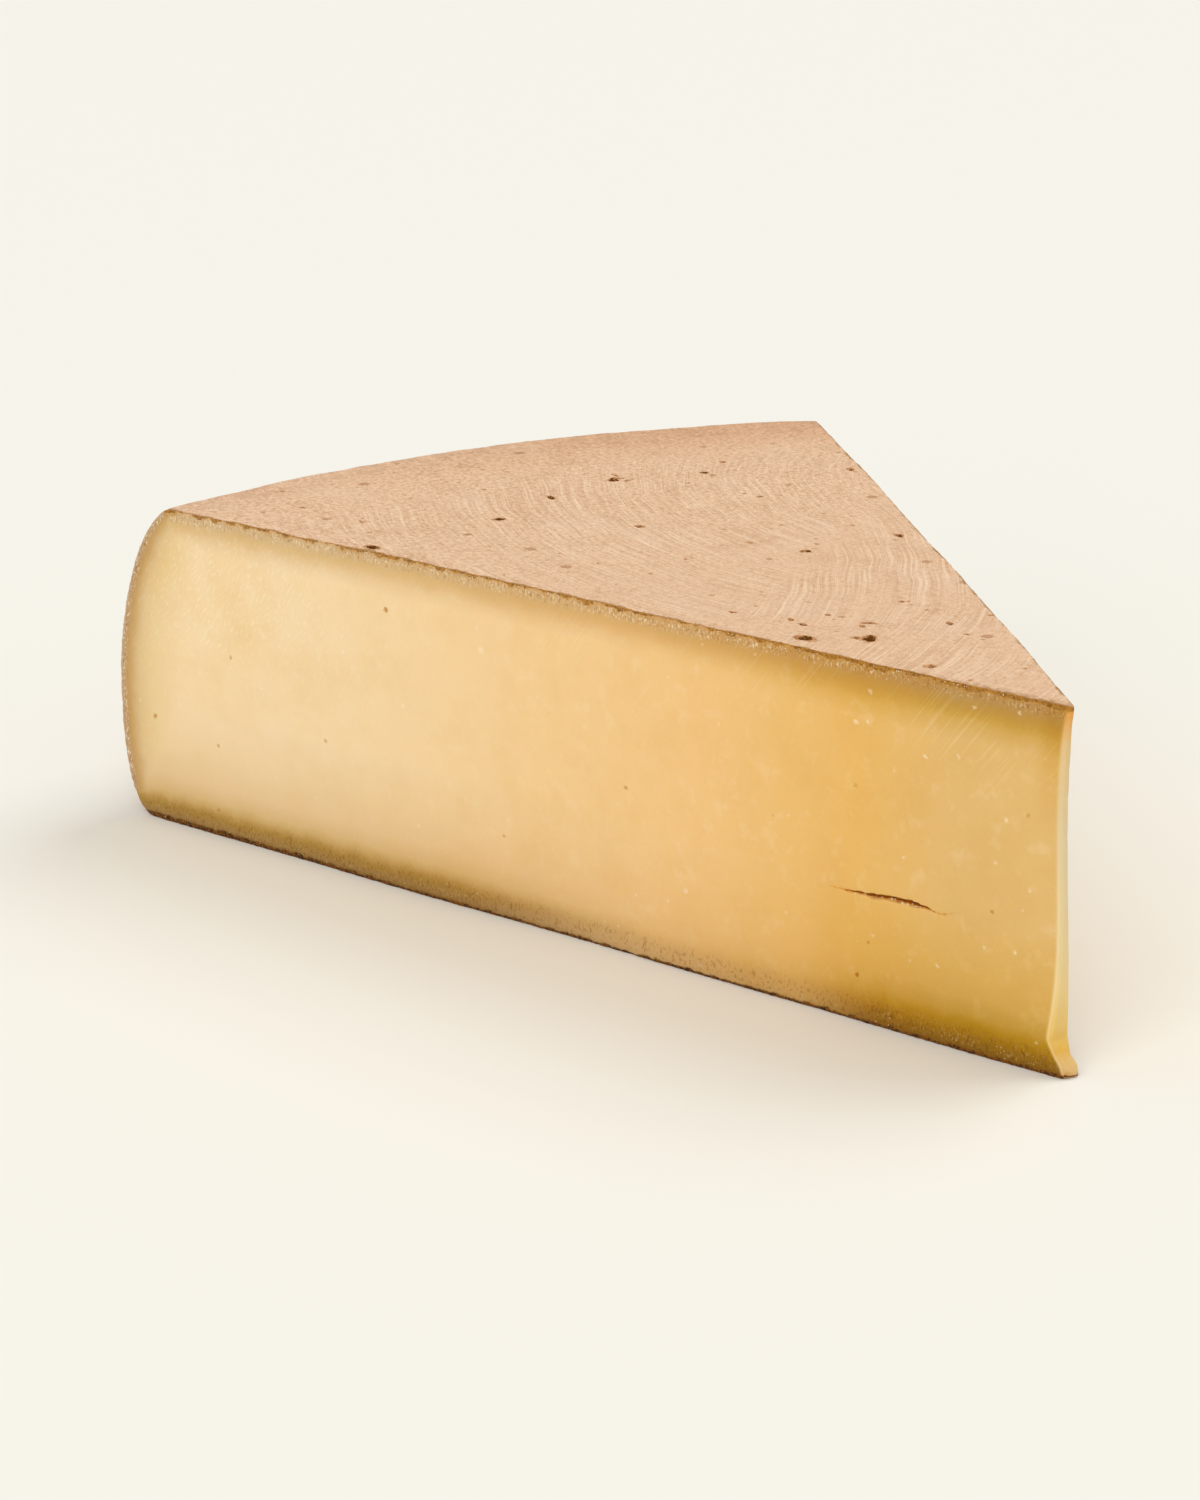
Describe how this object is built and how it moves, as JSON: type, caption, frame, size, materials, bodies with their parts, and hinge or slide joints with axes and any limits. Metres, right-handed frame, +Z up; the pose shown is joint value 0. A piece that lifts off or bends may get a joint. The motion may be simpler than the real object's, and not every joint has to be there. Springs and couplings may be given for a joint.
{
  "type": "cheese wedge",
  "caption": "Wedge of a hard pressed cheese wheel with its rind on, one sector between two knife cuts with a bulging rind heel.",
  "frame": {"origin": "centre of the wedge's footprint box, on the flat underside it rests on", "axes": "+X from the rind heel to the blunt tip, +Y towards the back cut, +Z up from the underside to the top rind"},
  "size_m": [0.325, 0.2448, 0.0963],
  "materials": {
    "cheese": "matte"
  },
  "bodies": {
    "root": {"cheese_wedge": "cheese"}
  },
  "joints": []
}
